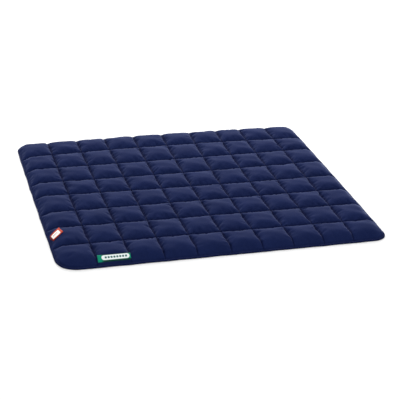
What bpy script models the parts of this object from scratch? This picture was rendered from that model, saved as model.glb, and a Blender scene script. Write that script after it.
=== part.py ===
"""Quilted pet blanket: one filled, sewn-through quilt with a woven patch and a folded side tab.

Metres, +Z up. The blanket lies flat on z = 0 with its long side along X and its front edge at -Y.
The origin is the centre of its footprint, on the surface that it rests on.
"""
import math
import random

import bmesh
import bpy
from mathutils import Vector
from mathutils.bvhtree import BVHTree

# Driving dimensions -------------------------------------------------------------------------

MM = 0.001
COLUMNS = 10
ROWS = 8
PITCH = 97.7 * MM                # one quilted square; the outer ones run on to the hem
HALF_LENGTH = 497 * MM           # of the even outline, before the lines below stray
HALF_WIDTH = 397 * MM
CENTRING = (0.9 * MM, -1.5 * MM)     # puts the uneven outline's middle on the origin

SEAM_HEIGHT = 12 * MM            # the stitched channels, at the middle of the cloth
SEAM_CLOTH = 2.4 * MM            # both cloths and the crushed filling under the stitches
CROWN = 18 * MM                  # a puff's crown above its channels
CROWN_SPREAD = 0.06              # unevenness of the crowns, as a part of one
EDGE_CROWN = 0.90                # crown of the outer puffs, as a part of a full one
EDGE_SLOPE = 0.32                # run in which the cloth comes down to the hem, in squares

HEM_WIDTH = 5 * MM               # turned and topstitched edge
HEM_THICKNESS = 4.5 * MM
HEM_GROOVE = 3.5 * MM            # top of the topstitched groove inside the hem
HEM_RIM = 3.0 * MM               # top of the hem's outer side
HEM_CREST = 0.4                  # place of the hem's crest across its width

SEWN_FULLNESS = 0.42             # power of the sine that rounds a puff at a channel
HEM_FULLNESS = 0.60              # the same at the hem, where the puff is slacker
DRAW_IN = 0.8 * MM               # the edge is drawn in this far between two channels

# Mesh lines across one square: every second one is used on the underside.
STEPS = (0.0, 0.07, 0.24, 0.5, 0.76, 0.93)
UNDERSIDE_STRIDE = 2

# Sewn lines that run from front to back, from the left hem to the right one: how many
# millimetres to the right of the even grid each one lies at its front, middle and back.
#   front  middle  back
COLUMN_LINES = (
    (-4,   -3,      1),
    (0,    -3,     -3),
    (-2,   -3,     -3),
    (-2,   -4,     -6),
    (-3,   -4,     -2),
    (1,    -5,      2),
    (-1,   -6,      7),
    (-3,   -4,      5),
    (-5,  -10,     -6),
    (-8,   -4,     -8),
    (2,     2,     -1),
)

# Sewn lines that run from left to right, from the front hem to the back one: how many
# millimetres behind the even grid each one lies at its left, middle and right.
#   left   middle  right
ROW_LINES = (
    (-3,   -2,     -2),
    (1,    -1,     -7),
    (4,     0,     -2),
    (-4,   -2,     -1),
    (3,    -7,     -3),
    (-11, -10,      5),
    (-16,  -9,      2),
    (-27,  -2,     -9),
    (-17,   2,      5),
)

# Corners of the hem's outline: which side in x and in y, and the rounding there.
#   side x  side y  radius
CORNERS = (
    (-1,    -1,     58 * MM),
    (1,     -1,     46 * MM),
    (1,      1,     44 * MM),
    (-1,     1,     36 * MM),
)

CLEARANCE = 0.8 * MM             # from the quilt up to a label's underside
LABEL_THICKNESS = 1.0 * MM

# The woven patch lies on the front slope of the second square.
PATCH_LEFT = -387.5 * MM
PATCH_RIGHT = -294 * MM
PATCH_FRONT = -389.5 * MM
PATCH_BACK = -371.5 * MM
PATCH_STEPS = (16, 5)            # along, across

# The side tab is a folded ribbon sewn into the left hem and bent back over the puff.
TAB_ROOT = ((-488 * MM, -256 * MM), (-492 * MM, -234 * MM))
TAB_FOLD = ((-457 * MM, -240 * MM), (-463.5 * MM, -215.5 * MM))
TAB_LAYER_GAP = 0.5 * MM
TAB_BRIDGE = 2 * MM              # it spans dips narrower than twice this
TAB_STEPS = (14, 8)              # along, across

MATERIALS = {
    #               colour                   roughness
    "navy_cloth": ((0.020, 0.024, 0.085, 1.0), 0.90),
    "green_weave": ((0.012, 0.170, 0.130, 1.0), 0.75),
    "red_weave": ((0.560, 0.050, 0.025, 1.0), 0.75),
}


# Small helpers ------------------------------------------------------------------------------

def smooth_step(value):
    """0 to 1 with level ends."""
    value = min(max(value, 0.0), 1.0)
    return value * value * (3.0 - 2.0 * value)


def mix(start, end, part):
    return start + (end - start) * part


def through_three(values, part):
    """The parabola through a line's start, middle and end values."""
    start, middle, end = values
    return (start * (1 - part) * (1 - 2 * part)
            + middle * 4 * part * (1 - part)
            + end * part * (2 * part - 1))


def between_lines(lines, position, part):
    """Offset at a place between two neighbouring sewn lines."""
    index = min(int(position), len(lines) - 2)
    return MM * mix(through_three(lines[index], part),
                    through_three(lines[index + 1], part),
                    position - index)


def make_material(name):
    colour, roughness = MATERIALS[name]
    material = bpy.data.materials.new(name)
    material.use_nodes = True
    shader = material.node_tree.nodes["Principled BSDF"]
    shader.inputs["Base Color"].default_value = colour
    shader.inputs["Roughness"].default_value = roughness
    shader.inputs["Metallic"].default_value = 0.0
    return material


def add_object(name, mesh_data, material_name):
    """Close, orient and shade a bmesh and put it in the scene as one named object."""
    bmesh.ops.triangulate(mesh_data, faces=mesh_data.faces[:])
    bmesh.ops.recalc_face_normals(mesh_data, faces=mesh_data.faces[:])
    mesh = bpy.data.meshes.new(name)
    mesh_data.to_mesh(mesh)
    mesh_data.free()
    mesh.shade_smooth()
    mesh.set_sharp_from_angle(angle=math.radians(50))
    mesh.materials.append(make_material(material_name))
    item = bpy.data.objects.new(name, mesh)
    bpy.context.scene.collection.objects.link(item)
    return item


# Shape of the quilt, in squares from the front-left end of the hem's inner line --------------

def panel_line(position, count, half):
    """Even place of a mesh line: the outer squares end at the hem's inner line."""
    inner = half - HEM_WIDTH
    last_seam = (count / 2 - 1) * PITCH
    if position < 1:
        return mix(-inner, -last_seam, position)
    if position > count - 1:
        return mix(last_seam, inner, position - (count - 1))
    return (position - count / 2) * PITCH


def round_corners(x, y):
    """Carry a square corner of the panel onto its rounded one, along the radii."""
    for side_x, side_y, radius in CORNERS:
        centre_x = HALF_LENGTH - radius
        centre_y = HALF_WIDTH - radius
        across = side_x * x - centre_x
        along = side_y * y - centre_y
        if across > 0 and along > 0:
            scale = max(across, along) / math.hypot(across, along)
            x = side_x * (centre_x + across * scale)
            y = side_y * (centre_y + along * scale)
    return x, y


def edge_pull(position, count, across):
    """How far a mesh line near the hem is drawn in, at a place along the hem."""
    hold = math.sin(math.pi * (across % 1.0)) ** 2
    near_start = smooth_step(1 - position)
    near_end = smooth_step(1 - (count - position))
    return DRAW_IN * hold * (near_start - near_end)


def plan(column, row):
    """Where a place on the panel lies, seen from above."""
    x, y = round_corners(panel_line(column, COLUMNS, HALF_LENGTH),
                         panel_line(row, ROWS, HALF_WIDTH))
    x += between_lines(COLUMN_LINES, column, row / ROWS)
    y += between_lines(ROW_LINES, row, column / COLUMNS)
    x += edge_pull(column, COLUMNS, row) + CENTRING[0]
    y += edge_pull(row, ROWS, column) + CENTRING[1]
    return x, y


def puff_profile(position, count):
    """0 on the sewn lines and 1 on the middle of a square."""
    cell = min(int(position), count - 1)
    part = position - cell
    at_hem = (cell == 0 and part < 0.5) or (cell == count - 1 and part > 0.5)
    fullness = HEM_FULLNESS if at_hem else SEWN_FULLNESS
    return max(math.sin(math.pi * part), 0.0) ** fullness


def hem_nearness(column, row):
    """1 on the hem's inner line, 0 where the cloth has reached the height of the channels."""
    distance = min(column, COLUMNS - column, row, ROWS - row)
    return 1 - smooth_step(distance / EDGE_SLOPE)


def make_crowns():
    """One crown for each square, a little uneven."""
    chance = random.Random(11)
    crowns = {}
    for column in range(COLUMNS):
        for row in range(ROWS):
            outer = column in (0, COLUMNS - 1) or row in (0, ROWS - 1)
            size = CROWN * (EDGE_CROWN if outer else 1.0)
            crowns[column, row] = size * (1 + chance.uniform(-CROWN_SPREAD, CROWN_SPREAD))
    return crowns


def top_height(column, row, crowns):
    seam_top = SEAM_HEIGHT + SEAM_CLOTH / 2
    base = mix(seam_top, HEM_GROOVE, hem_nearness(column, row))
    crown = crowns[min(int(column), COLUMNS - 1), min(int(row), ROWS - 1)]
    return base + crown * puff_profile(column, COLUMNS) * puff_profile(row, ROWS)


def under_height(column, row):
    """0 on the flat pads and the hem, raised along the channels."""
    seam_under = SEAM_HEIGHT - SEAM_CLOTH / 2
    on_channel = (column == int(column) and 0 < column < COLUMNS) or (
        row == int(row) and 0 < row < ROWS)
    return seam_under * (1 - hem_nearness(column, row)) if on_channel else 0.0


# Mesh of the quilt --------------------------------------------------------------------------

def mesh_lines(count):
    return [cell + step for cell in range(count) for step in STEPS] + [float(count)]


def add_grid(mesh_data, columns, rows, height_at):
    """A sheet of quads over the panel; returns its vertices as a table by column and row."""
    table = []
    for column in columns:
        line = []
        for row in rows:
            x, y = plan(column, row)
            line.append(mesh_data.verts.new((x, y, height_at(column, row))))
        table.append(line)
    for i in range(len(columns) - 1):
        for j in range(len(rows) - 1):
            mesh_data.faces.new((table[i][j], table[i + 1][j],
                                 table[i + 1][j + 1], table[i][j + 1]))
    return table


def rim_of(table):
    """The outer vertices of a grid, counter-clockwise from the front-left corner."""
    front = [line[0] for line in table]
    right = table[-1][1:]
    back = [line[-1] for line in reversed(table[:-1])]
    left = list(reversed(table[0][1:-1]))
    return front + right + back + left


def outward(ring, index):
    """Level direction away from the panel at a rim vertex."""
    before = ring[index - 1].co
    after = ring[(index + 1) % len(ring)].co
    run = after - before
    return Vector((run.y, -run.x, 0)).normalized()


def offset_ring(mesh_data, ring, distance, height):
    """A ring outside another one, at a height of its own."""
    outer = []
    for index, vertex in enumerate(ring):
        place = vertex.co + outward(ring, index) * distance
        outer.append(mesh_data.verts.new((place.x, place.y, height)))
    return outer


def join_rings(mesh_data, inner, outer):
    count = len(inner)
    for index in range(count):
        after = (index + 1) % count
        mesh_data.faces.new((inner[index], outer[index], outer[after], inner[after]))


def make_quilt():
    """The filled body: puffed top, hem and an underside of flat pads between channels."""
    mesh_data = bmesh.new()
    crowns = make_crowns()
    columns = mesh_lines(COLUMNS)
    rows = mesh_lines(ROWS)

    top = add_grid(mesh_data, columns, rows, lambda c, r: top_height(c, r, crowns))
    groove = rim_of(top)
    crest = offset_ring(mesh_data, groove, HEM_WIDTH * HEM_CREST, HEM_THICKNESS)
    edge = offset_ring(mesh_data, groove, HEM_WIDTH, HEM_RIM)
    join_rings(mesh_data, groove, crest)
    join_rings(mesh_data, crest, edge)

    under = add_grid(mesh_data, columns[::UNDERSIDE_STRIDE], rows[::UNDERSIDE_STRIDE],
                     under_height)
    foot = rim_of(under)
    for index, vertex in enumerate(foot):
        above = edge[index * UNDERSIDE_STRIDE].co
        vertex.co = (above.x, above.y, 0)
    for index, vertex in enumerate(foot):
        after = foot[(index + 1) % len(foot)]
        start = index * UNDERSIDE_STRIDE
        span = [edge[(start + step) % len(edge)] for step in range(UNDERSIDE_STRIDE + 1)]
        mesh_data.faces.new([vertex, after] + span[::-1])
    return add_object("quilt", mesh_data, "navy_cloth")


# Labels -------------------------------------------------------------------------------------

def surface_under(quilt):
    """A function that gives the height of the quilt's top at a place."""
    tree = BVHTree.FromPolygons([vertex.co for vertex in quilt.data.vertices],
                                [face.vertices for face in quilt.data.polygons])
    above = 10 * CROWN

    def height_at(x, y):
        hit = tree.ray_cast(Vector((x, y, above)), Vector((0, 0, -1)))[0]
        return hit.z
    return height_at


def lay_sheet(mesh_data, places, height_at, lift):
    """One side of a laid label: a table of vertices at a height above the quilt."""
    return [[mesh_data.verts.new((x, y, height_at(x, y) + lift)) for x, y in line]
            for line in places]


def skin(mesh_data, table):
    for i in range(len(table) - 1):
        for j in range(len(table[0]) - 1):
            mesh_data.faces.new((table[i][j], table[i + 1][j],
                                 table[i + 1][j + 1], table[i][j + 1]))


def four_corner_places(start, end, steps):
    """Even places between two lines, each given by its two ends."""
    along, across = steps
    places = []
    for i in range(along + 1):
        first = Vector(start[0]).lerp(Vector(end[0]), i / along)
        last = Vector(start[1]).lerp(Vector(end[1]), i / along)
        places.append([tuple(first.lerp(last, j / across)) for j in range(across + 1)])
    return places


def make_patch(height_at):
    """The woven patch: one thin sheet on the slope of the front row, stiff along its length."""
    mesh_data = bmesh.new()
    places = four_corner_places(((PATCH_LEFT, PATCH_FRONT), (PATCH_LEFT, PATCH_BACK)),
                                ((PATCH_RIGHT, PATCH_FRONT), (PATCH_RIGHT, PATCH_BACK)),
                                PATCH_STEPS)

    def ridge_at(_, y):
        return max(height_at(line[0][0], y) for line in places)

    under = lay_sheet(mesh_data, places, ridge_at, CLEARANCE)
    over = lay_sheet(mesh_data, places, ridge_at, CLEARANCE + LABEL_THICKNESS)
    skin(mesh_data, under)
    skin(mesh_data, over)
    join_rings(mesh_data, rim_of(under), rim_of(over))
    return add_object("patch_label", mesh_data, "green_weave")


def close_layer(mesh_data, under, over):
    """The root end and the two sides of one layer of the ribbon."""
    for j in range(len(under[0]) - 1):
        mesh_data.faces.new((under[0][j], under[0][j + 1], over[0][j + 1], over[0][j]))
    for side in (0, -1):
        for i in range(len(under) - 1):
            mesh_data.faces.new((under[i][side], under[i + 1][side],
                                 over[i + 1][side], over[i][side]))


def close_fold(mesh_data, layers):
    """The round fold that joins the two layers at the ribbon's far end."""
    lower_under, lower_over, upper_under, upper_over = layers
    reach = LABEL_THICKNESS + TAB_LAYER_GAP / 2
    nose = []
    for j, vertex in enumerate(lower_under[-1]):
        onward = (vertex.co - lower_under[-2][j].co).to_2d().normalized() * reach
        middle = (vertex.co.z + upper_over[-1][j].co.z) / 2
        nose.append(mesh_data.verts.new((vertex.co.x + onward.x,
                                         vertex.co.y + onward.y, middle)))
    strips = ((lower_under[-1], nose),
              (nose, upper_over[-1]),
              (lower_over[-1], upper_under[-1]))
    for first, second in strips:
        for j in range(len(nose) - 1):
            mesh_data.faces.new((first[j], first[j + 1], second[j + 1], second[j]))
    for side in (0, -1):
        mesh_data.faces.new((lower_under[-1][side], nose[side], upper_over[-1][side],
                             upper_under[-1][side], lower_over[-1][side]))


def make_tab(height_at):
    """The side tab: a ribbon folded once, its two layers a little apart."""
    mesh_data = bmesh.new()
    places = four_corner_places(TAB_ROOT, TAB_FOLD, TAB_STEPS)

    def bridged_at(x, y):
        return max(height_at(x, y), height_at(x + TAB_BRIDGE, y))

    upper_lift = CLEARANCE + LABEL_THICKNESS + TAB_LAYER_GAP
    lifts = (CLEARANCE,
             CLEARANCE + LABEL_THICKNESS,
             upper_lift,
             upper_lift + LABEL_THICKNESS)
    layers = [lay_sheet(mesh_data, places, bridged_at, lift) for lift in lifts]
    for table in layers:
        skin(mesh_data, table)
    close_layer(mesh_data, layers[0], layers[1])
    close_layer(mesh_data, layers[2], layers[3])
    close_fold(mesh_data, layers)
    return add_object("loop_label", mesh_data, "red_weave")


# Build --------------------------------------------------------------------------------------

def main():
    for item in list(bpy.data.objects):
        bpy.data.objects.remove(item, do_unlink=True)
    quilt = make_quilt()
    height_at = surface_under(quilt)
    make_patch(height_at)
    make_tab(height_at)


main()
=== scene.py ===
"""Looks of a quilted pet blanket: a sewn-through quilt in navy cotton with a woven patch and a side tab.

Metres, +Z up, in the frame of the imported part. The quilt's cover is a cloth simulation, blown up
between its sewn channels. Its hem, stitches and labels are built on the simulated cloth.
"""

import math
import random

import bpy
import numpy as np
from mathutils import Matrix, Vector
from mathutils.bvhtree import BVHTree


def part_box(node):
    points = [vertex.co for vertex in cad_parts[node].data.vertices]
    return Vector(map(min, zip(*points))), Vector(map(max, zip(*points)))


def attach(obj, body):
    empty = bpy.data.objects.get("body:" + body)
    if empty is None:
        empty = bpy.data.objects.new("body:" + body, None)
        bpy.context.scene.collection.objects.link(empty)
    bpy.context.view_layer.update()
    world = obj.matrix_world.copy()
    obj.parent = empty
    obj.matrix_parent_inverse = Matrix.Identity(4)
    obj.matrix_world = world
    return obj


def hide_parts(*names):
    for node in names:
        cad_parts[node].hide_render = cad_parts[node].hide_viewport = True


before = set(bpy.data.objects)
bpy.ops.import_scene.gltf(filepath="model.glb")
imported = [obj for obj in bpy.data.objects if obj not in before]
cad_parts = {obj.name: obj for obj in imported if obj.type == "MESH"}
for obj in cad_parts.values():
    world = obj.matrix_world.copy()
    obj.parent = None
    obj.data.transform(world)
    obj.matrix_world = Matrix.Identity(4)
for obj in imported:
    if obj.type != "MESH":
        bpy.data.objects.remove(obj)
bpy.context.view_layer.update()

# Driving dimensions -------------------------------------------------------------------------

MM = 0.001
COLUMNS = 10
ROWS = 8
PITCH = 97.7 * MM                # one quilted square; the outer ones run on to the hem
HALF_LENGTH = 497 * MM           # of the even outline, before the lines below stray
HALF_WIDTH = 397 * MM
CENTRING = (0.9 * MM, -1.5 * MM)
DRAW_IN = 0.8 * MM               # the edge is drawn in this far between two channels

SEAM_HEIGHT = 12 * MM            # the stitched channels, at the middle of the cloth
SEAM_CLOTH = 2.4 * MM            # both cloths and the crushed filling under the stitches
HEM_WIDTH = 5 * MM
HEM_GROOVE = 3.5 * MM            # top of the topstitched groove inside the hem
HEM_FOOT = 0.3 * MM              # underside of that groove
EDGE_SLOPE = 0.32                # run in which the cloth comes down to the hem, in squares

# Section of the turned hem, from its groove outwards and round to its underside.
#   part of HEM_WIDTH, height
HEM_SECTION = (
    (0.10, 3.9 * MM),
    (0.28, 4.4 * MM),
    (0.50, 4.5 * MM),
    (0.72, 4.1 * MM),
    (0.90, 3.2 * MM),
    (0.99, 2.2 * MM),
    (1.00, 1.3 * MM),
    (0.94, 0.5 * MM),
    (0.80, 0.0 * MM),
)
HEM_PAINTED_SHADE = (0.2, 0.15, 0.2, 0.4, 0.6, 0.75, 0.8, 0.8, 0.8)   # shade painted into its cloth's colour, more as it turns down
HEM_WAVER = 0.35 * MM            # the hem rises, sinks and strays by about this much

# Sewn lines that run from front to back, from the left hem to the right one: how many
# millimetres to the right of the even grid each one lies at its front, middle and back.
#   front  middle  back
COLUMN_LINES = (
    (-4,   -3,      1),
    (0,    -3,     -3),
    (-2,   -3,     -3),
    (-2,   -4,     -6),
    (-3,   -4,     -2),
    (1,    -5,      2),
    (-1,   -6,      7),
    (-3,   -4,      5),
    (-5,  -10,     -6),
    (-8,   -4,     -8),
    (2,     2,     -1),
)

# Sewn lines that run from left to right, from the front hem to the back one: how many
# millimetres behind the even grid each one lies at its left, middle and right.
#   left   middle  right
ROW_LINES = (
    (-3,   -2,     -2),
    (1,    -1,     -7),
    (4,     0,     -2),
    (-4,   -2,     -1),
    (3,    -7,     -3),
    (-11, -10,      5),
    (-16,  -9,      2),
    (-27,  -2,     -9),
    (-17,   2,      5),
)

# Corners of the hem's outline: which side in x and in y, and the rounding there.
#   side x  side y  radius
CORNERS = (
    (-1,    -1,     58 * MM),
    (1,     -1,     46 * MM),
    (1,      1,     44 * MM),
    (-1,     1,     36 * MM),
)

# Cloth of the cover --------------------------------------------------------------------------

TOP_STEPS = 30                   # mesh lines across one square on the top, finer at its seams
TOP_PER_UNDER = 3
UNDER_STEPS = TOP_STEPS // TOP_PER_UNDER
SEAM_CROWDING = 0.3              # 0 spaces the mesh lines evenly, 1 crowds them at the seams
START_CROWN = 13 * MM            # half-blown form that the simulation starts from
COLUMN_FULLNESS = 0.28           # power of the sine that rounds that form at a column seam
ROW_FULLNESS = 0.42              # the same at a row seam, where the squares are rounder
HIP_POWER = 5                    # the higher, the sharper the four slopes of a square meet
FRAMES = 16
CLOTH_SETTINGS = {
    "quality": 4,
    "mass": 0.3,
    "tension_stiffness": 15,
    "compression_stiffness": 15,
    "shear_stiffness": 5,
    "bending_stiffness": 0.1,
    "tension_damping": 5,
    "compression_damping": 5,
    "shear_damping": 5,
    "air_damping": 1,
    "pin_stiffness": 1,
    "use_pressure": True,
    "uniform_pressure_force": 20,
}
SLACK = 0.03                     # the cloth is cut this much larger than its place
UNEVEN_SLACK = 0.35              # by how much of itself the slack differs from place to place
UNEVEN_FILLING = 0.25            # by how much of itself the pressure differs between squares
HEM_THINNING = 0.6               # the filling thins out towards the hem by this much of itself
MOST_MOVE = 12 * MM              # a point of the cloth moves no further than this
FLAT_EASE = 1.5 * MM             # rounding where the underside lies flat
GATHER_REACH = 12 * MM           # the cloth puckers this far beside its seams
GATHER_CALM = 0.45               # and lies smooth nearer the hem than this, in squares
HEM_GATHER = 0.1                 # puckering of the hem itself, as a part of a seam's
CREASE_SHADE_REACH = 2.5 * MM          # and shade is painted into its colour this far beside them
CREASE_SHADE_FADE = 0.8                # that painted shade is weaker by this much where a seam meets the hem

# Gathers: small folds that run from a seam into the square, where the sewing takes cloth up.
GATHERS = (2, 5)                 # from 2 to 4 on either side of a square's stretch of seam
GATHER_DEPTH = (0.9 * MM, 2.8 * MM)
GATHER_WIDTH = (3.6 * MM, 6.0 * MM)
GATHER_LENGTH = (12 * MM, 32 * MM)
GATHER_TAIL = 0.6                # the part of its length over which a fold dies away
GATHER_RISE = 3 * MM             # a fold reaches its depth this far from the seam
GATHER_FAN = 1.3                 # the folds fan out from the crossings by this slant
DIMPLE = 0.45 * MM               # the tops stray by about this much from the even form

# Stitches -----------------------------------------------------------------------------------

STITCH_PITCH = 4.0 * MM
STITCH_LENGTH = 3.1 * MM
STITCH_THICKNESS = 0.75 * MM
HEM_STITCH_PITCH = 4.4 * MM
HEM_STITCH_THICKNESS = 0.9 * MM
LABEL_STITCH_PITCH = 2.6 * MM
LABEL_STITCH_LENGTH = 1.8 * MM
LABEL_STITCH_THICKNESS = 0.5 * MM
LABEL_STITCH_INSET = 1.2 * MM

# Labels -------------------------------------------------------------------------------------

LABEL_THICKNESS = 0.8 * MM
LABEL_LIFT = 0.5 * MM            # middle of a laid label above the cloth
PATCH_STEPS = (64, 16)
PATCH_EASE = 5 * MM              # the cloth is pressed flat this far round the patch

# The side tab from its root in the hem to its fold, at its left and right edge.
#   left x, y, z               right x, y, z
TAB_STATIONS = (
    ((-491.5, -234.5, 4.5),    (-487.0, -256.5, 4.5)),
    ((-492.5, -236.5, 11.5),   (-487.0, -260.5, 11.5)),
    ((-491.0, -237.0, 18.5),   (-484.5, -260.0, 18.5)),
    ((-478.0, -227.0, 25.5),   (-471.5, -252.0, 24.5)),
    ((-463.8, -214.7, 29.0),   (-456.8, -241.0, 27.0)),
)
TAB_STEPS = (36, 14)
TAB_THICKNESS = 0.6 * MM
TAB_LAYER_GAP = 0.5 * MM
TAB_LIFT = 1.2 * MM              # its middle lies at least this high above the quilt
TAB_FIELD = (38 * MM, 7.6 * MM)  # where its white field begins and ends, before the fold

SEED = 11


# Small helpers ------------------------------------------------------------------------------

def smooth_step(value):
    """0 to 1 with level ends."""
    value = np.clip(value, 0.0, 1.0)
    return value * value * (3.0 - 2.0 * value)


def mix(start, end, part):
    return start + (end - start) * part


def linear_colour(hex_code):
    """An sRGB hex value as the linear RGBA that a shader takes."""
    channels = [int(hex_code[i:i + 2], 16) / 255 for i in (1, 3, 5)]
    return [c / 12.92 if c <= 0.04045 else ((c + 0.055) / 1.055) ** 2.4 for c in channels] + [1.0]


def add_node(tree, kind, inputs=None, **settings):
    """One node with its settings; inputs are values or sockets, by a socket's name or number."""
    node = tree.nodes.new(kind)
    for name, value in settings.items():
        setattr(node, name, value)
    for key, value in (inputs or {}).items():
        if isinstance(value, bpy.types.NodeSocket):
            tree.links.new(value, node.inputs[key])
        else:
            node.inputs[key].default_value = value
    return node


def add_mesh(name, points, faces, edges=(), material=None, plan_map=None):
    """A named object at the origin; plan_map gives each point its place on the cloth, in metres."""
    mesh = bpy.data.meshes.new(name)
    mesh.from_pydata([tuple(point) for point in points], list(edges), list(faces))
    if plan_map is not None:
        corners = np.empty(len(mesh.loops), np.int32)
        mesh.loops.foreach_get("vertex_index", corners)
        layer = mesh.uv_layers.new(name="cloth")
        layer.data.foreach_set("uv", np.asarray(plan_map, np.float32)[corners].ravel())
    if material is not None:
        mesh.materials.append(material)
    mesh.shade_smooth()
    item = bpy.data.objects.new(name, mesh)
    bpy.context.scene.collection.objects.link(item)
    return item


def add_attribute(item, name, values):
    attribute = item.data.attributes.new(name, "FLOAT", "POINT")
    attribute.data.foreach_set("value", np.asarray(values, np.float32))


def grid_faces(indices, upward=True):
    """Quads between the points of a table of indices."""
    quads = np.stack([indices[:-1, :-1], indices[1:, :-1],
                      indices[1:, 1:], indices[:-1, 1:]], -1).reshape(-1, 4)
    return (quads if upward else quads[:, ::-1]).tolist()


def rim_of(table):
    """The outer entries of a table, counter-clockwise from the front-left corner."""
    return np.concatenate([table[:, 0], table[-1, 1:], table[-2::-1, -1], table[0, -2:0:-1]])


def wander(count, waves, chance):
    """A smooth closed run of numbers between about -1 and 1, of seeded random waves."""
    turn = np.linspace(0, 2 * math.pi, count, endpoint=False)
    total = np.zeros(count)
    for wave in waves:
        total += np.sin(turn * wave + chance.uniform(0, 2 * math.pi))
    return total / math.sqrt(len(waves))


# Plan of the quilt, in squares from the front-left end of the hem's inner line ----------------

def stations(count, steps):
    """Mesh lines across the squares, crowded at the seams."""
    even = np.arange(steps) / steps
    crowded = even - SEAM_CROWDING * np.sin(2 * math.pi * even) / (2 * math.pi)
    return np.concatenate([cell + crowded for cell in range(count)] + [[float(count)]])


def places_in_squares(steps):
    """Tables of the mesh lines' places, by column and by row."""
    return np.meshgrid(stations(COLUMNS, steps), stations(ROWS, steps), indexing="ij")


def panel_line(position, count, half):
    """Even place of a mesh line: the outer squares end at the hem's inner line."""
    inner = half - HEM_WIDTH
    last_seam = (count / 2 - 1) * PITCH
    first = mix(-inner, -last_seam, position)
    last = mix(last_seam, inner, position - (count - 1))
    middle = (position - count / 2) * PITCH
    return np.where(position < 1, first, np.where(position > count - 1, last, middle))


def between_lines(lines, position, part):
    """Offset at a place between two neighbouring sewn lines, each a parabola."""
    table = np.array(lines, float)
    index = np.minimum(position.astype(int), len(lines) - 2)

    def along(line):
        start, middle, end = table[line, 0], table[line, 1], table[line, 2]
        return (start * (1 - part) * (1 - 2 * part)
                + middle * 4 * part * (1 - part)
                + end * part * (2 * part - 1))

    return MM * mix(along(index), along(index + 1), position - index)


def round_corners(x, y):
    """Carry a square corner of the panel onto its rounded one, along the radii."""
    for side_x, side_y, radius in CORNERS:
        centre_x = HALF_LENGTH - radius
        centre_y = HALF_WIDTH - radius
        across = side_x * x - centre_x
        along = side_y * y - centre_y
        inside = (across > 0) & (along > 0)
        reach = np.maximum(np.hypot(across, along), 1e-9)
        scale = np.where(inside, np.maximum(across, along) / reach, 1.0)
        x = np.where(inside, side_x * (centre_x + across * scale), x)
        y = np.where(inside, side_y * (centre_y + along * scale), y)
    return x, y


def edge_pull(position, count, across):
    """How far a mesh line near the hem is drawn in, at a place along the hem."""
    hold = np.sin(math.pi * (across % 1.0)) ** 2
    return DRAW_IN * hold * (smooth_step(1 - position) - smooth_step(1 - (count - position)))


def plan(column, row):
    """Where places on the panel lie, seen from above."""
    x, y = round_corners(panel_line(column, COLUMNS, HALF_LENGTH),
                         panel_line(row, ROWS, HALF_WIDTH))
    x = x + between_lines(COLUMN_LINES, column, row / ROWS)
    y = y + between_lines(ROW_LINES, row, column / COLUMNS)
    x = x + edge_pull(column, COLUMNS, row) + CENTRING[0]
    y = y + edge_pull(row, ROWS, column) + CENTRING[1]
    return x, y


def hem_nearness(column, row):
    """1 on the hem's inner line, 0 where the cloth has reached the height of the channels."""
    return 1 - smooth_step(distance_to_hem(column, row) / EDGE_SLOPE)


def off_seam(position):
    """How far a place is from the nearest sewn line or hem, in squares."""
    return np.abs(position - np.round(position))


def off_inner_seam(position, count):
    """How far a place is from the nearest sewn line between two squares, in squares."""
    return np.abs(position - np.clip(np.round(position), 1, count - 1))


def distance_to_hem(column, row):
    return np.minimum(np.minimum(column, COLUMNS - column), np.minimum(row, ROWS - row))


def painted_shade_strength(column, row):
    """Painted shade in the cloth's colour: 1 down in a seam, less where the seam meets the hem, 0 out on
    the squares, and a little in the hem's groove.
    """
    across = off_inner_seam(column, COLUMNS)
    along = off_inner_seam(row, ROWS)
    to_hem = distance_to_hem(column, row)
    seam = np.exp(-(np.minimum(across, along) * PITCH / CREASE_SHADE_REACH) ** 2)
    groove = 0.3 * np.exp(-(to_hem * PITCH / CREASE_SHADE_REACH) ** 2)
    return seam * (1 - CREASE_SHADE_FADE * smooth_step(1 - to_hem / 0.35)) + groove


# The quilt's cover --------------------------------------------------------------------------

def cover_sheet(steps, upper):
    """Half-blown start of the top or the underside: places in squares, and points."""
    column, row = places_in_squares(steps)
    x, y = plan(column, row)
    near = hem_nearness(column, row)
    across = np.maximum(np.abs(np.sin(math.pi * column)), 1e-6) ** COLUMN_FULLNESS
    along = np.maximum(np.abs(np.sin(math.pi * row)), 1e-6) ** ROW_FULLNESS
    blown = START_CROWN * (across ** -HIP_POWER + along ** -HIP_POWER) ** (-1 / HIP_POWER)
    if upper:
        z = mix(SEAM_HEIGHT + SEAM_CLOTH / 2, HEM_GROOVE, near) + blown
    else:
        z = mix(SEAM_HEIGHT - SEAM_CLOTH / 2, HEM_FOOT, near) - blown
    return column, row, np.stack([x, y, z], -1)


def set_group(item, name, weights):
    """A vertex group with its own weight for each point."""
    group = item.vertex_groups.new(name=name)
    for index, weight in enumerate(weights.tolist()):
        group.add((index,), weight, "REPLACE")


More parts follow.
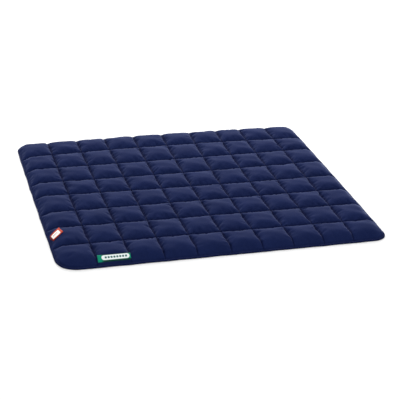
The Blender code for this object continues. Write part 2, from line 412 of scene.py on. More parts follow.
def blow_up(points, faces, pinned, filling, slack):
    """Inflate the cover by a cloth simulation and give its points where it ends."""
    item = add_mesh("cover_before", points, faces)
    set_group(item, "sewn", pinned)
    set_group(item, "filling", filling)
    set_group(item, "slack", slack)
    modifier = item.modifiers.new("cover", "CLOTH")
    cloth = modifier.settings
    for name, value in CLOTH_SETTINGS.items():
        setattr(cloth, name, value)
    cloth.vertex_group_mass = "sewn"
    cloth.vertex_group_pressure = "filling"
    cloth.vertex_group_shrink = "slack"
    cloth.shrink_min = -SLACK * (1 - UNEVEN_SLACK)
    cloth.shrink_max = -SLACK * (1 + UNEVEN_SLACK)
    cloth.effector_weights.gravity = 0
    modifier.collision_settings.use_collision = False
    modifier.collision_settings.use_self_collision = False
    modifier.point_cache.frame_start = 1
    modifier.point_cache.frame_end = FRAMES
    for number in range(1, FRAMES + 1):
        bpy.context.scene.frame_set(number)
    evaluated = item.evaluated_get(bpy.context.evaluated_depsgraph_get())
    places = np.empty(len(points) * 3)
    evaluated.data.vertices.foreach_get("co", places)
    bpy.data.objects.remove(item, do_unlink=True)
    bpy.context.scene.frame_set(1)
    return places.reshape(-1, 3)


def capped(start, end):
    """The moved points, none of them further from its start than the cap."""
    move = end - start
    length = np.linalg.norm(move, axis=-1, keepdims=True)
    return start + move * np.minimum(1.0, MOST_MOVE / np.maximum(length, 1e-9))


def make_cover():
    """The simulated top and underside, as tables of points."""
    top_column, top_row, top = cover_sheet(TOP_STEPS, True)
    under_column, under_row, under = cover_sheet(UNDER_STEPS, False)
    chance = np.random.default_rng(SEED)
    table_filling = chance.uniform(1 - UNEVEN_FILLING, 1, (COLUMNS, ROWS))

    def sheet_values(column, row):
        sewn = (off_seam(column) < 1e-6) | (off_seam(row) < 1e-6)
        cell = (np.minimum(column.astype(int), COLUMNS - 1), np.minimum(row.astype(int), ROWS - 1))
        slack = 0.5 + 0.25 * (np.sin(7.1 * column + 2.3 * row) + np.sin(9.7 * row - 3.1 * column))
        amount = table_filling[cell] * (1 - HEM_THINNING * hem_nearness(column, row))
        return sewn.astype(float).ravel(), amount.ravel(), slack.ravel()

    top_values = sheet_values(top_column, top_row)
    under_values = sheet_values(under_column, under_row)
    pinned, filling, slack = (np.concatenate(pair) for pair in zip(top_values, under_values))
    top_indices = np.arange(top_column.size).reshape(top_column.shape)
    under_indices = np.arange(under_column.size).reshape(under_column.shape) + top_column.size
    start = np.concatenate([top.reshape(-1, 3), under.reshape(-1, 3)])
    faces = grid_faces(top_indices) + grid_faces(under_indices, upward=False)
    end = capped(start, blow_up(start, faces, pinned, filling, slack))
    return end[:top_column.size].reshape(top.shape), end[top_column.size:].reshape(under.shape)


def add_gathers(top, column, row, count, chance):
    """Sink the folds that run off the seams lying across the second axis of the tables."""
    lines = np.arange(top.shape[0])
    to_hem = np.minimum(np.minimum(column, count - column),
                        np.minimum(row, row.max() - row))
    calm = smooth_step(to_hem / GATHER_CALM)
    for seam in range(1, count):
        for cell in range(int(row.max())):
            for side in (-1, 1):
                for _ in range(chance.integers(*GATHERS)):
                    start = chance.uniform(0.04, 0.96)
                    slant = (0.5 - start) * GATHER_FAN + chance.uniform(-0.25, 0.25)
                    depth = chance.uniform(*GATHER_DEPTH)
                    width = chance.uniform(*GATHER_WIDTH)
                    length = chance.uniform(*GATHER_LENGTH)
                    beside = side * (column[:, 0] - seam) * PITCH
                    near = lines[(beside >= 0) & (beside < length)]
                    away = beside[near][:, None]
                    along = (row[near] - cell - start) * PITCH - slant * away
                    fold = np.exp(-(along / width) ** 2) * np.cos(1.8 * along / width)
                    hold = smooth_step(away / GATHER_RISE) * smooth_step((1 - away / length)
                                                                         / GATHER_TAIL)
                    top[near, :, 2] -= depth * fold * hold * calm[near]


def add_unevenness(top, column, row):
    """Gathers beside every seam, and shallow dimples on the squares."""
    chance = np.random.default_rng(SEED + 1)
    add_gathers(top, column, row, COLUMNS, chance)
    add_gathers(top.transpose(1, 0, 2), row.T, column.T, ROWS, chance)
    dimples = np.zeros(column.shape)
    waves = 12
    for _ in range(waves):
        turn = chance.uniform(0, math.pi)
        pace = 2 * math.pi * PITCH / chance.uniform(30 * MM, 70 * MM)
        dimples += np.sin(pace * (column * math.cos(turn) + row * math.sin(turn))
                          + chance.uniform(0, 2 * math.pi))
    hold = smooth_step(np.minimum(off_seam(column), off_seam(row)) / 0.2)
    top[:, :, 2] += DIMPLE * dimples / math.sqrt(waves / 2) * hold


def settle(under):
    """The underside comes to rest flat on z = 0, with its edges eased."""
    height = under[:, :, 2]
    under[:, :, 2] = (height + np.sqrt(height ** 2 + FLAT_EASE ** 2)) / 2
    under[:, :, 2] -= under[:, :, 2].min()


def press_for_patch(top, profile, low, high):
    """Lay the top cloth just under the patch's profile, inside its footprint."""
    x, y = top[:, :, 0], top[:, :, 1]
    outside_x = np.maximum(np.maximum(low.x - x, x - high.x), 0)
    outside_y = np.maximum(np.maximum(low.y - y, y - high.y), 0)
    hold = smooth_step(1 - np.hypot(outside_x, outside_y) / PATCH_EASE)
    top[:, :, 2] = mix(top[:, :, 2], profile(y), hold)


def hem_rings(rim, rim_plan):
    """Rings of points outside the groove, along the hem's section."""
    chance = random.Random(SEED)
    count = len(rim)
    run = np.roll(rim, -1, 0) - np.roll(rim, 1, 0)
    outward = np.stack([run[:, 1], -run[:, 0]], -1)
    outward /= np.linalg.norm(outward, axis=1, keepdims=True)
    rise = wander(count, (23, 41, 67, 118), chance) * HEM_WAVER
    stray = wander(count, (17, 31, 59), chance) * HEM_WAVER
    rings = []
    maps = []
    for part, height in HEM_SECTION:
        reach = part * HEM_WIDTH
        lift = height / HEM_SECTION[2][1]
        places = rim[:, :2] + outward * (reach + part * stray)[:, None]
        heights = np.maximum(height + lift * rise, 0.0)
        rings.append(np.column_stack([places, heights]))
        maps.append(rim_plan + outward * reach)
    return rings, maps


def make_quilt(top, under, material):
    """The closed body: the top, the hem's rings and the underside."""
    column, row = places_in_squares(TOP_STEPS)
    under_column, under_row = places_in_squares(UNDER_STEPS)
    top_map = np.stack([column, row], -1) * PITCH
    under_map = np.stack([under_column, under_row], -1) * PITCH
    top_indices = np.arange(column.size).reshape(column.shape)
    rim = rim_of(top_indices)
    rings, maps = hem_rings(top.reshape(-1, 3)[rim], top_map.reshape(-1, 2)[rim])

    points = [top.reshape(-1, 3)] + rings + [under.reshape(-1, 3)]
    plan_map = [top_map.reshape(-1, 2)] + maps + [under_map.reshape(-1, 2)]
    faces = grid_faces(top_indices)
    inner = rim
    after = column.size
    for ring in rings:
        outer = np.arange(len(ring)) + after
        faces += np.stack([inner, outer, np.roll(outer, -1), np.roll(inner, -1)], -1).tolist()
        inner = outer
        after += len(ring)
    under_indices = np.arange(under_column.size).reshape(under_column.shape) + after
    faces += grid_faces(under_indices, upward=False)
    foot = rim_of(under_indices)
    corners = inner[::TOP_PER_UNDER]
    between = [inner[step::TOP_PER_UNDER] for step in range(TOP_PER_UNDER - 1, 0, -1)]
    faces += np.stack([foot, np.roll(foot, -1), np.roll(corners, -1)] + between + [corners],
                      -1).tolist()

    item = add_mesh("quilt_body", np.concatenate(points), faces, material=material,
                    plan_map=np.concatenate(plan_map))
    on_ring = np.full(len(rim) * len(rings), HEM_GATHER)
    # Strength of the painted shade at every point: top, hem rings and underside.
    add_attribute(item, "painted_crease_shade", np.concatenate([painted_shade_strength(column, row).ravel(),
                                                  np.repeat(HEM_PAINTED_SHADE, len(rim)),
                                                  painted_shade_strength(under_column, under_row).ravel()]))
    on_top = distance_to_hem(column, row)
    on_under = distance_to_hem(under_column, under_row)
    for name, count, sheets in (
            ("column_gather", COLUMNS, ((column, on_top), (under_column, on_under))),
            ("row_gather", ROWS, ((row, on_top), (under_row, on_under)))):
        values = [(np.exp(-(off_inner_seam(place, count) * PITCH / GATHER_REACH) ** 2)
                   * smooth_step(to_hem / GATHER_CALM)).ravel() for place, to_hem in sheets]
        add_attribute(item, name, np.concatenate([values[0], on_ring, values[1]]))
    return item


# Stitches -----------------------------------------------------------------------------------

STITCH_INPUTS = (
    ("Pitch", "NodeSocketFloat"),
    ("Length", "NodeSocketFloat"),
    ("Thickness", "NodeSocketFloat"),
    ("Slant", "NodeSocketFloat"),
    ("Seed", "NodeSocketInt"),
    ("Thread", "NodeSocketMaterial"),
)


def stitch_tree():
    """Geometry nodes: one rounded stitch at every pitch along the edges of a mesh."""
    tree = bpy.data.node_groups.new("stitches_along_seams", "GeometryNodeTree")
    tree.interface.new_socket("Geometry", in_out="INPUT", socket_type="NodeSocketGeometry")
    for label, kind in STITCH_INPUTS:
        tree.interface.new_socket(label, in_out="INPUT", socket_type=kind)
    tree.interface.new_socket("Geometry", in_out="OUTPUT", socket_type="NodeSocketGeometry")
    given = add_node(tree, "NodeGroupInput").outputs

    seams = add_node(tree, "GeometryNodeMeshToCurve", {"Mesh": given["Geometry"]})
    places = add_node(tree, "GeometryNodeCurveToPoints",
                      {"Curve": seams.outputs["Curve"], "Length": given["Pitch"]}, mode="LENGTH")
    bead = add_node(tree, "GeometryNodeMeshUVSphere", {"Segments": 6, "Rings": 4, "Radius": 0.5})
    size = add_node(tree, "ShaderNodeCombineXYZ",
                    {"X": given["Length"], "Y": given["Thickness"], "Z": given["Thickness"]})
    laid = add_node(tree, "GeometryNodeTransform",
                    {"Geometry": bead.outputs["Mesh"], "Scale": size.outputs["Vector"]})
    along = add_node(tree, "FunctionNodeAlignRotationToVector",
                     {"Vector": places.outputs["Tangent"]}, axis="X")
    least = add_node(tree, "ShaderNodeMath", {0: given["Slant"], 1: -1.0}, operation="MULTIPLY")
    slant = add_node(tree, "FunctionNodeRandomValue",
                     {"Min": least.outputs[0], "Max": given["Slant"], "Seed": given["Seed"]})
    turn = add_node(tree, "FunctionNodeAxisAngleToRotation",
                    {"Axis": (0.0, 0.0, 1.0), "Angle": slant.outputs["Value"]})
    slanted = add_node(tree, "FunctionNodeRotateRotation",
                       {"Rotation": along.outputs["Rotation"], "Rotate By": turn.outputs[0]},
                       rotation_space="LOCAL")
    sewn = add_node(tree, "GeometryNodeInstanceOnPoints",
                    {"Points": places.outputs["Points"], "Instance": laid.outputs["Geometry"],
                     "Rotation": slanted.outputs["Rotation"]})
    real = add_node(tree, "GeometryNodeRealizeInstances", {"Geometry": sewn.outputs["Instances"]})
    done = add_node(tree, "GeometryNodeSetMaterial",
                    {"Geometry": real.outputs["Geometry"], "Material": given["Thread"]})
    add_node(tree, "NodeGroupOutput", {"Geometry": done.outputs["Geometry"]})
    return tree


def sew(name, lines, tree, sizes):
    """Stitches along open or closed lines of points; sizes are the tree's inputs by name."""
    points = []
    edges = []
    for line, closed in lines:
        first = len(points)
        points += [tuple(point) for point in line]
        edges += [(first + i, first + i + 1) for i in range(len(line) - 1)]
        if closed:
            edges.append((first + len(line) - 1, first))
    item = add_mesh(name, points, (), edges)
    modifier = item.modifiers.new("stitches", "NODES")
    modifier.node_group = tree
    for socket in tree.interface.items_tree:
        if socket.in_out == "INPUT" and socket.name in sizes:
            modifier[socket.identifier] = sizes[socket.name]
    depsgraph = bpy.context.evaluated_depsgraph_get()
    mesh = bpy.data.meshes.new_from_object(item.evaluated_get(depsgraph))
    item.modifiers.clear()
    item.data = mesh
    mesh.name = name
    mesh.shade_smooth()
    return item


def raised(line, height):
    return np.asarray(line) + np.array([0, 0, height])


def channel_lines(table, steps, height):
    """The sewn lines between the squares, from hem to hem."""
    columns = [(raised(table[k * steps], height), False) for k in range(1, COLUMNS)]
    rows = [(raised(table[:, k * steps], height), False) for k in range(1, ROWS)]
    return columns + rows


def make_stitches(top, under, thread, hem_thread):
    """The quilting on both sides and the hem's topstitching."""
    tree = stitch_tree()
    sizes = {"Pitch": STITCH_PITCH, "Length": STITCH_LENGTH, "Thickness": STITCH_THICKNESS,
             "Slant": math.radians(7), "Seed": SEED, "Thread": thread}
    lift = STITCH_THICKNESS * 0.25
    quilting = sew("channel_stitches", channel_lines(top, TOP_STEPS, lift), tree, sizes)
    below = sew("underside_stitches", channel_lines(under, UNDER_STEPS, -lift), tree, sizes)
    hem_sizes = dict(sizes, Pitch=HEM_STITCH_PITCH, Thickness=HEM_STITCH_THICKNESS,
                     Thread=hem_thread)
    groove = rim_of(np.arange(top[:, :, 0].size).reshape(top.shape[:2]))
    line = raised(top.reshape(-1, 3)[groove], HEM_STITCH_THICKNESS * 0.3)
    return [quilting, below, sew("hem_stitches", [(line, True)], tree, hem_sizes)], tree


# Labels -------------------------------------------------------------------------------------

def thicken(table, thickness):
    """Points and faces of a closed sheet around a table of points."""
    along = np.gradient(table, axis=0)
    across = np.gradient(table, axis=1)
    normal = np.cross(along, across)
    normal /= np.maximum(np.linalg.norm(normal, axis=-1, keepdims=True), 1e-12)
    over = table + normal * thickness / 2
    below = table - normal * thickness / 2
    indices = np.arange(table[:, :, 0].size).reshape(table.shape[:2])
    faces = grid_faces(indices) + grid_faces(indices + indices.size, upward=False)
    rim = rim_of(indices)
    lower = rim + indices.size
    faces += np.stack([rim, lower, np.roll(lower, -1), np.roll(rim, -1)], -1).tolist()
    return np.concatenate([over.reshape(-1, 3), below.reshape(-1, 3)]), faces


def patch_profile(top, low, high):
    """Height of the cloth under the patch by its place across, straight along the patch."""
    x, y, z = (top[:, :, axis] for axis in range(3))
    inside = (x > low.x) & (x < high.x) & (y > low.y - PATCH_EASE) & (y < high.y + PATCH_EASE)
    curve = np.polyfit(y[inside] - low.y, z[inside], 2)
    return lambda place: np.polyval(curve, place - low.y)


def make_patch(profile, low, high):
    """The woven patch: a thin sheet on the slope of the front row, stiff along its length."""
    x, y = np.meshgrid(np.linspace(low.x, high.x, PATCH_STEPS[0] + 1),
                       np.linspace(low.y, high.y, PATCH_STEPS[1] + 1), indexing="ij")
    z = profile(y) + LABEL_LIFT + LABEL_THICKNESS / 2
    rise = profile(high.y) - profile(low.y)
    slope_width = math.hypot(high.y - low.y, rise)
    points, faces = thicken(np.stack([x, y, z], -1), LABEL_THICKNESS)
    place = np.stack([x - low.x, (y - low.y) / (high.y - low.y) * slope_width], -1).reshape(-1, 2)
    size = (high.x - low.x, slope_width)
    item = add_mesh("woven_patch", points, faces, material=green_damask(size),
                    plan_map=np.concatenate([place, place]))
    return item, size


def make_patch_stitches(profile, low, high, tree, thread):
    """The fine running stitch that holds the patch, just inside its edge."""
    inset = LABEL_STITCH_INSET
    x, y = np.meshgrid(np.linspace(low.x + inset, high.x - inset, PATCH_STEPS[0] + 1),
                       np.linspace(low.y + inset, high.y - inset, PATCH_STEPS[1] + 1),
                       indexing="ij")
    z = profile(y) + LABEL_LIFT + LABEL_THICKNESS
    line = np.stack([x, y, z], -1).reshape(-1, 3)[rim_of(np.arange(x.size).reshape(x.shape))]
    sizes = {"Pitch": LABEL_STITCH_PITCH, "Length": LABEL_STITCH_LENGTH,
             "Thickness": LABEL_STITCH_THICKNESS, "Slant": 0.0, "Seed": SEED, "Thread": thread}
    return sew("patch_stitches", [(line, True)], tree, sizes)


def height_above(item):
    """A function that gives the height of an object's top at a place."""
    tree = BVHTree.FromPolygons([vertex.co for vertex in item.data.vertices],
                                [face.vertices for face in item.data.polygons])

    def height_at(x, y):
        hit = tree.ray_cast(Vector((x, y, 1)), Vector((0, 0, -1)))[0]
        return hit.z if hit else 0.0
    return height_at


def smooth_through(stations_given, count):
    """A smooth run of places through a few given ones (Catmull-Rom)."""
    given = np.array(stations_given, float)
    padded = np.concatenate([[2 * given[0] - given[1]], given, [2 * given[-1] - given[-2]]])
    run = []
    for step in range(count + 1):
        place = step / count * (len(given) - 1)
        i = min(int(place), len(given) - 2)
        t = place - i
        a, b, c, d = padded[i:i + 4]
        run.append(0.5 * (2 * b + (c - a) * t + (2 * a - 5 * b + 4 * c - d) * t * t
                          + (3 * b - a - 3 * c + d) * t ** 3))
    return np.array(run)


def make_tab(height_at):
    """The side tab: a ribbon folded once, rising from the hem and bent over on the puff."""
    along, across = TAB_STEPS
    left = smooth_through([pair[0] for pair in TAB_STATIONS], along) * MM
    right = smooth_through([pair[1] for pair in TAB_STATIONS], along) * MM
    part = np.linspace(0, 1, across + 1)[None, :, None]
    laid = mix(left[:, None, :], right[:, None, :], part)
    ground = np.array([[height_at(x, y) for x, y, _ in line] for line in laid])
    centre = laid.copy()
    centre[:, :, 2] = np.maximum(laid[:, :, 2], ground + TAB_LIFT)
    slope_along = np.gradient(centre, axis=0)
    slope_across = np.gradient(centre, axis=1)
    normal = np.cross(slope_across, slope_along)
    normal /= np.linalg.norm(normal, axis=-1, keepdims=True)

    reach = (TAB_LAYER_GAP + TAB_THICKNESS) / 2
    onward = slope_along[-1] / np.linalg.norm(slope_along[-1], axis=-1, keepdims=True)
    nose = [centre[-1] + reach * (onward * math.sin(turn) + normal[-1] * math.cos(turn))
            for turn in np.linspace(0, math.pi, 7)[1:-1]]
    path = np.concatenate([centre + normal * reach, np.array(nose),
                           (centre - normal * reach)[::-1]])
    points, faces = thicken(path[:, ::-1], TAB_THICKNESS)
    step = np.linalg.norm(np.diff(path, axis=0), axis=-1).mean(1)
    run = np.concatenate([[0], np.cumsum(step)])
    width = np.linalg.norm(path[:, 0] - path[:, -1], axis=-1).mean()
    place = np.stack(np.meshgrid(run, part.ravel() * width, indexing="ij"), -1)
    place = place[:, ::-1].reshape(-1, 2)
    field = [run[along] - before for before in TAB_FIELD]
    item = add_mesh("side_tab", points, faces, material=red_damask(width, field),
                    plan_map=np.concatenate([place, place]))
    return item, (width, run[-1])


# Materials ----------------------------------------------------------------------------------

MIX_A, MIX_B, MIX_RESULT = 6, 7, 2     # colour sockets of the Mix node


def new_material(name, colour, roughness, specular=0.3, sheen=0.0):
    """A material with a Principled shader; gives it, its tree and the shader."""
    material = bpy.data.materials.new(name)
    material.use_nodes = True
    shader = material.node_tree.nodes["Principled BSDF"]
    shader.inputs["Base Color"].default_value = linear_colour(colour)
    shader.inputs["Roughness"].default_value = roughness
    shader.inputs["Specular IOR Level"].default_value = specular
    shader.inputs["Sheen Weight"].default_value = sheen
    return material, material.node_tree, shader


def weave_height(tree, place, spacing):
    """Height of a plain weave: threads both ways, each over and under the other."""
    scale = 2 * math.pi / (20 * spacing)      # a Wave node makes one band every 2 pi / 20
    warp = add_node(tree, "ShaderNodeTexWave", {"Vector": place, "Scale": scale / 2},
                    bands_direction="X")
    weft = add_node(tree, "ShaderNodeTexWave", {"Vector": place, "Scale": scale / 2},
                    bands_direction="Y")
    return add_node(tree, "ShaderNodeMath", {0: warp.outputs["Fac"], 1: weft.outputs["Fac"]},
                    operation="MULTIPLY").outputs[0]


def navy_cotton():
    """Navy dyed cotton, plain weave: deep and matt, with a faint pale bloom at grazing angles."""
    material, tree, shader = new_material("navy_dyed_cotton", "#191E43", 0.86, 0.05, 0.3)
    shader.inputs["Sheen Roughness"].default_value = 0.3
    shader.inputs["Sheen Tint"].default_value = linear_colour("#B4C0F0")
    place = add_node(tree, "ShaderNodeTexCoord").outputs["UV"]

    # Dye takes a little unevenly over a hand's width, and fibre by fibre.
    patches = add_node(tree, "ShaderNodeTexNoise", {"Vector": place, "Scale": 14.0, "Detail": 3.0})
    fibres = add_node(tree, "ShaderNodeTexNoise", {"Vector": place, "Scale": 420.0, "Detail": 2.0})
    dye = add_node(tree, "ShaderNodeMix",
                   {0: patches.outputs["Fac"], MIX_A: linear_colour("#121C41"),
                    MIX_B: linear_colour("#18244F")}, data_type="RGBA")
    fleck = add_node(tree, "ShaderNodeMapRange",
                     {"Value": fibres.outputs["Fac"], "From Min": 0.3, "From Max": 0.7,
                      "To Min": 0.86, "To Max": 1.14})
    cloth = add_node(tree, "ShaderNodeMix",
                     {0: 1.0, MIX_A: dye.outputs[MIX_RESULT], MIX_B: fleck.outputs["Result"]},
                     data_type="RGBA", blend_type="MULTIPLY")

    # Painted shade: the colour darkens towards a deep navy down in the stitched creases, in the hem's
    # groove and on the hem as it turns down.
    painted_crease_shade = add_node(tree, "ShaderNodeAttribute", attribute_name="painted_crease_shade")
    depth = add_node(tree, "ShaderNodeMath", {0: painted_crease_shade.outputs["Fac"], 1: 0.9},
                     operation="MULTIPLY")
    shaded = add_node(tree, "ShaderNodeMix",
                      {0: depth.outputs[0], MIX_A: cloth.outputs[MIX_RESULT],
                       MIX_B: linear_colour("#00042E")}, data_type="RGBA")
    tree.links.new(shaded.outputs[MIX_RESULT], shader.inputs["Base Color"])

    # Puckers run across each seam: short gathers beside it, one every 9 mm or so.
    gathers = []
    for name, scale in (("column_gather", (18.0, 110.0, 1.0)), ("row_gather", (110.0, 18.0, 1.0))):
        beside = add_node(tree, "ShaderNodeAttribute", attribute_name=name)
        stretched = add_node(tree, "ShaderNodeMapping", {"Vector": place, "Scale": scale})
        folds = add_node(tree, "ShaderNodeTexNoise",
                         {"Vector": stretched.outputs["Vector"], "Scale": 1.0, "Detail": 1.5})
        gathers.append(add_node(tree, "ShaderNodeMath",
                                {0: folds.outputs["Fac"], 1: beside.outputs["Fac"]},
                                operation="MULTIPLY").outputs[0])
    both = add_node(tree, "ShaderNodeMath", {0: gathers[0], 1: gathers[1]}, operation="ADD")
    puckers = add_node(tree, "ShaderNodeBump",
                       {"Height": both.outputs[0], "Strength": 0.8, "Distance": 2.6 * MM})
    creases = add_node(tree, "ShaderNodeTexNoise",
                       {"Vector": place, "Scale": 38.0, "Detail": 3.0, "Roughness": 0.55})
    creased = add_node(tree, "ShaderNodeBump",
                       {"Height": creases.outputs["Fac"], "Strength": 0.35,
                        "Distance": 2.0 * MM, "Normal": puckers.outputs["Normal"]})
    # The real threads are 0.3 mm apart, too fine to show, so the weave is drawn at 1.6 mm.
    weave = add_node(tree, "ShaderNodeBump",
                     {"Height": weave_height(tree, place, 1.6 * MM), "Strength": 0.35,
                      "Distance": 0.25 * MM, "Normal": creased.outputs["Normal"]})
    tree.links.new(weave.outputs["Normal"], shader.inputs["Normal"])
    return material


def spun_thread(name, colour):
    """Spun polyester sewing thread: a little brighter and smoother than the cloth, twisted."""
    material, tree, shader = new_material(name, colour, 0.75, 0.06)
    place = add_node(tree, "ShaderNodeTexCoord").outputs["Object"]
    # The plies are drawn 0.8 mm apart, three times their real twist, so that they show.
    plies = add_node(tree, "ShaderNodeTexWave", {"Vector": place, "Scale": 390.0},
                     bands_direction="DIAGONAL")
    twist = add_node(tree, "ShaderNodeBump",
                     {"Height": plies.outputs["Fac"], "Strength": 0.5, "Distance": 0.2 * MM})
    tree.links.new(twist.outputs["Normal"], shader.inputs["Normal"])
    return material


def inside_band(tree, value, low, high, ease):
    """1 where a value is between two others, with a short soft edge."""
    rise = add_node(tree, "ShaderNodeMapRange",
                    {"Value": value, "From Min": low - ease, "From Max": low + ease})
    fall = add_node(tree, "ShaderNodeMapRange",
                    {"Value": value, "From Min": high - ease, "From Max": high + ease,
                     "To Min": 1.0, "To Max": 0.0})
    return add_node(tree, "ShaderNodeMath",
                    {0: rise.outputs["Result"], 1: fall.outputs["Result"]},
                    operation="MULTIPLY").outputs[0]


def colour_over(tree, mask, under, colour):
    """One thread colour woven over another where the mask is 1."""
    return add_node(tree, "ShaderNodeMix", {0: mask, MIX_A: under, MIX_B: linear_colour(colour)},
                    data_type="RGBA").outputs[MIX_RESULT]


def woven_label(name, colour):
    """Start of a damask woven label: satin threads, ribbed across; gives its place sockets."""
    material, tree, shader = new_material(name, colour, 0.62, 0.12, 0.04)
    place = add_node(tree, "ShaderNodeTexCoord").outputs["UV"]
    # Label threads are 0.15 mm apart, so the ribs are drawn at 0.9 mm.
    ribs = add_node(tree, "ShaderNodeBump",
                    {"Height": weave_height(tree, place, 0.9 * MM), "Strength": 0.5,
                     "Distance": 0.15 * MM})
    tree.links.new(ribs.outputs["Normal"], shader.inputs["Normal"])
    parts = add_node(tree, "ShaderNodeSeparateXYZ", {"Vector": place})
    return material, tree, shader, parts.outputs["X"], parts.outputs["Y"]


def repeat_bars(tree, along, across, start, pitch, bar, count, low, high):
    """A row of plain short bars: a generic woven ornament."""
    moved = add_node(tree, "ShaderNodeMath", {0: along, 1: start}, operation="SUBTRACT")
    wrapped = add_node(tree, "ShaderNodeMath", {0: moved.outputs[0], 1: pitch},
                       operation="FLOORED_MODULO")
    in_bar = inside_band(tree, wrapped.outputs[0], 0.15 * pitch, 0.15 * pitch + bar, 0.1 * MM)
    in_run = inside_band(tree, along, start, start + count * pitch, 0.1 * MM)
    in_row = inside_band(tree, across, low, high, 0.15 * MM)
    row = add_node(tree, "ShaderNodeMath", {0: in_bar, 1: in_run}, operation="MULTIPLY")
    return add_node(tree, "ShaderNodeMath", {0: row.outputs[0], 1: in_row},
                    operation="MULTIPLY").outputs[0]


def damask_ground(tree, dark, bright):
    """The label's own colour, which varies a little from thread to thread."""
    place = add_node(tree, "ShaderNodeTexCoord").outputs["UV"]
    thread = add_node(tree, "ShaderNodeTexNoise", {"Vector": place, "Scale": 600.0})
    return add_node(tree, "ShaderNodeMix",
                    {0: thread.outputs["Fac"], MIX_A: linear_colour(dark),
                     MIX_B: linear_colour(bright)}, data_type="RGBA").outputs[MIX_RESULT]


def green_damask(size):
    """Green damask weave with a white round-ended field and a row of plain green bars."""
    length, width = size
    material, tree, shader, along, across = woven_label("green_damask_weave", "#12806F")
    # The field is a pill: places within its radius of a line along the label.
    radius = 0.345 * width
    centre = 0.565 * width
    left, right = 0.12 * length + radius, 0.965 * length - radius
    held = add_node(tree, "ShaderNodeClamp", {"Value": along, "Min": left, "Max": right})
    off_x = add_node(tree, "ShaderNodeMath", {0: along, 1: held.outputs[0]}, operation="SUBTRACT")
    off_y = add_node(tree, "ShaderNodeMath", {0: across, 1: centre}, operation="SUBTRACT")
    offset = add_node(tree, "ShaderNodeCombineXYZ", {"X": off_x.outputs[0], "Y": off_y.outputs[0]})
    distance = add_node(tree, "ShaderNodeVectorMath", {0: offset.outputs["Vector"]},
                        operation="LENGTH")
    field = inside_band(tree, distance.outputs["Value"], -1.0, radius, 0.25 * MM)
    bars = repeat_bars(tree, along, across, left + 0.5 * MM, 8.2 * MM, 5.4 * MM, 8,
                       centre - 2.9 * MM, centre + 2.9 * MM)
    ground = damask_ground(tree, "#007A5C", "#0A9E7E")
    # Darker bands along both long edges, but not at the left end: a darker woven border, and at the top
    # edge also painted shade.
    middle = inside_band(tree, across, 0.2 * width, 0.90 * width, 0.6 * MM)
    left_end = inside_band(tree, along, -1.0, 0.14 * length, 4 * MM)
    bright = add_node(tree, "ShaderNodeMath", {0: middle, 1: left_end}, operation="MAXIMUM")
    border_and_painted_shade = add_node(tree, "ShaderNodeMix",
                     {0: bright.outputs[0], MIX_A: linear_colour("#01382F"), MIX_B: ground},
                     data_type="RGBA").outputs[MIX_RESULT]
    white = colour_over(tree, field, border_and_painted_shade, "#F6FFFD")
    marked = colour_over(tree, bars, white, "#1D5F5A")
    tree.links.new(marked, shader.inputs["Base Color"])
    return material


def red_damask(width, field_ends):
    """Orange-red damask weave with a white field, a short row of plain red bars, and a dark crimson root
    that is partly darker weave and partly painted shade.
    """
    material, tree, shader, along, across = woven_label("red_damask_weave", "#C4472F")
    near, far = field_ends
    field_along = inside_band(tree, along, near, far, 0.3 * MM)
    field_across = inside_band(tree, across, 0.20 * width, 0.87 * width, 0.3 * MM)
    field = add_node(tree, "ShaderNodeMath", {0: field_along, 1: field_across},
                     operation="MULTIPLY").outputs[0]
    bars = repeat_bars(tree, along, across, near + 5 * MM, 4.6 * MM, 2.4 * MM, 4,
                       0.40 * width, 0.56 * width)
    ground = damask_ground(tree, "#AE2E14", "#CC451E")
    # The root, where the ribbon rises from the hem, is dark crimson: partly a darker weave, partly
    # painted shade.
    root = inside_band(tree, along, -1.0, near - 1 * MM, 0.6 * MM)
    root_dark_and_shaded = colour_over(tree, root, ground, "#64060F")
    white = colour_over(tree, field, root_dark_and_shaded, "#FFFBF5")
    marked = colour_over(tree, bars, white, "#A8504A")
    tree.links.new(marked, shader.inputs["Base Color"])
    return material


def studio_paper():
    """Seamless white paper, matt, with a trace of tooth."""
    material, tree, shader = new_material("white_studio_paper", "#FBFBFB", 0.9)
    place = add_node(tree, "ShaderNodeTexCoord").outputs["Object"]
    tooth = add_node(tree, "ShaderNodeTexNoise", {"Vector": place, "Scale": 300.0})
    bump = add_node(tree, "ShaderNodeBump",
                    {"Height": tooth.outputs["Fac"], "Strength": 0.1, "Distance": 0.1 * MM})
    tree.links.new(bump.outputs["Normal"], shader.inputs["Normal"])
    return material


# Camera, floor and light --------------------------------------------------------------------

FLOOR_SIZE = 60.0
CAMERA_AIM = (-1.376 * MM, -92.4 * MM, 13 * MM)
CAMERA_DISTANCE = 3.25615
CAMERA_AZIMUTH = 19.784          # degrees to the left of the front
CAMERA_ELEVATION = 28.226
CAMERA_ROLL = 5.099
CAMERA_LENS = 95.04              # on a sensor 36 wide
TENT_STRENGTH = 0.82
SOFT_BOX_PLACE = (0.7, 2.8, 1.7)
SOFT_BOX_SIZE = 2.8
SOFT_BOX_ENERGY = 138


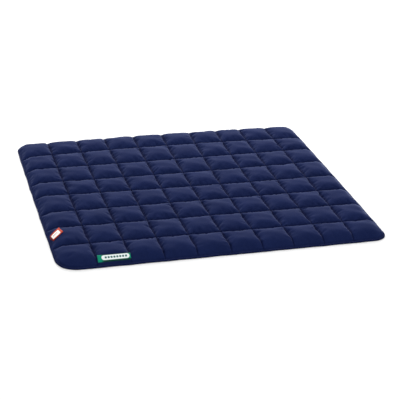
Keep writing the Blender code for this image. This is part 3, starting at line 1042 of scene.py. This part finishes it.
def make_camera():
    """A long lens from the front left and above, rolled a little."""
    aim = Vector(CAMERA_AIM)
    azimuth = math.radians(CAMERA_AZIMUTH)
    elevation = math.radians(CAMERA_ELEVATION)
    roll = math.radians(CAMERA_ROLL)
    forward = Vector((math.sin(azimuth) * math.cos(elevation),
                      math.cos(azimuth) * math.cos(elevation),
                      -math.sin(elevation)))
    level_right = forward.cross(Vector((0, 0, 1))).normalized()
    level_up = level_right.cross(forward)
    right = level_right * math.cos(roll) + level_up * math.sin(roll)
    up = level_up * math.cos(roll) - level_right * math.sin(roll)
    data = bpy.data.cameras.new("camera")
    data.sensor_width = 36
    data.lens = CAMERA_LENS
    camera = bpy.data.objects.new("camera", data)
    turn = Matrix((right, up, -forward)).transposed().to_4x4()
    camera.matrix_world = Matrix.Translation(aim - forward * CAMERA_DISTANCE) @ turn
    bpy.context.scene.collection.objects.link(camera)
    bpy.context.scene.camera = camera


def make_floor(material):
    half = FLOOR_SIZE / 2
    corners = [(-half, -half, 0), (half, -half, 0), (half, half, 0), (-half, half, 0)]
    floor = add_mesh("floor", corners, [(0, 1, 2, 3)], material=material)


def add_area_light(name, place, size, energy):
    """A square soft box that faces the middle of the blanket."""
    data = bpy.data.lights.new(name, "AREA")
    data.size = size
    data.energy = energy
    light = bpy.data.objects.new(name, data)
    light.location = place
    light.rotation_euler = (-Vector(place)).to_track_quat("-Z", "Y").to_euler()
    bpy.context.scene.collection.objects.link(light)


def make_light():
    """A bright white tent, and a large soft box over the back."""
    world = bpy.data.worlds.new("tent")
    world.use_nodes = True
    tent = world.node_tree.nodes["Background"]
    tent.inputs["Color"].default_value = (1.0, 1.0, 1.0, 1.0)
    tent.inputs["Strength"].default_value = TENT_STRENGTH
    bpy.context.scene.world = world
    add_area_light("soft_box_back", SOFT_BOX_PLACE, SOFT_BOX_SIZE, SOFT_BOX_ENERGY)
    bpy.context.scene.view_settings.view_transform = "Standard"


# Build --------------------------------------------------------------------------------------

def main():
    make_camera()
    make_light()
    make_floor(studio_paper())

    top, under = make_cover()
    settle(under)
    add_unevenness(top, *places_in_squares(TOP_STEPS))
    low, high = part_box("patch_label")
    profile = patch_profile(top, low, high)
    press_for_patch(top, profile, low, high)
    quilt = make_quilt(top, under, navy_cotton())
    # The quilting thread is drawn darker than the cloth: its navy holds painted shade from down in the
    # seams.
    stitches, tree = make_stitches(top, under, spun_thread("navy_thread", "#030938"),
                                   spun_thread("hem_navy_thread", "#343B66"))

    patch, patch_size = make_patch(profile, low, high)
    edge_stitches = make_patch_stitches(profile, low, high, tree,
                                        spun_thread("green_thread", "#04453A"))
    tab, tab_size = make_tab(height_above(quilt))

    for piece in [quilt, patch, edge_stitches, tab] + stitches:
        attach(piece, "root")
    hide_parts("quilt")
    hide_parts("patch_label")
    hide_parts("loop_label")


main()
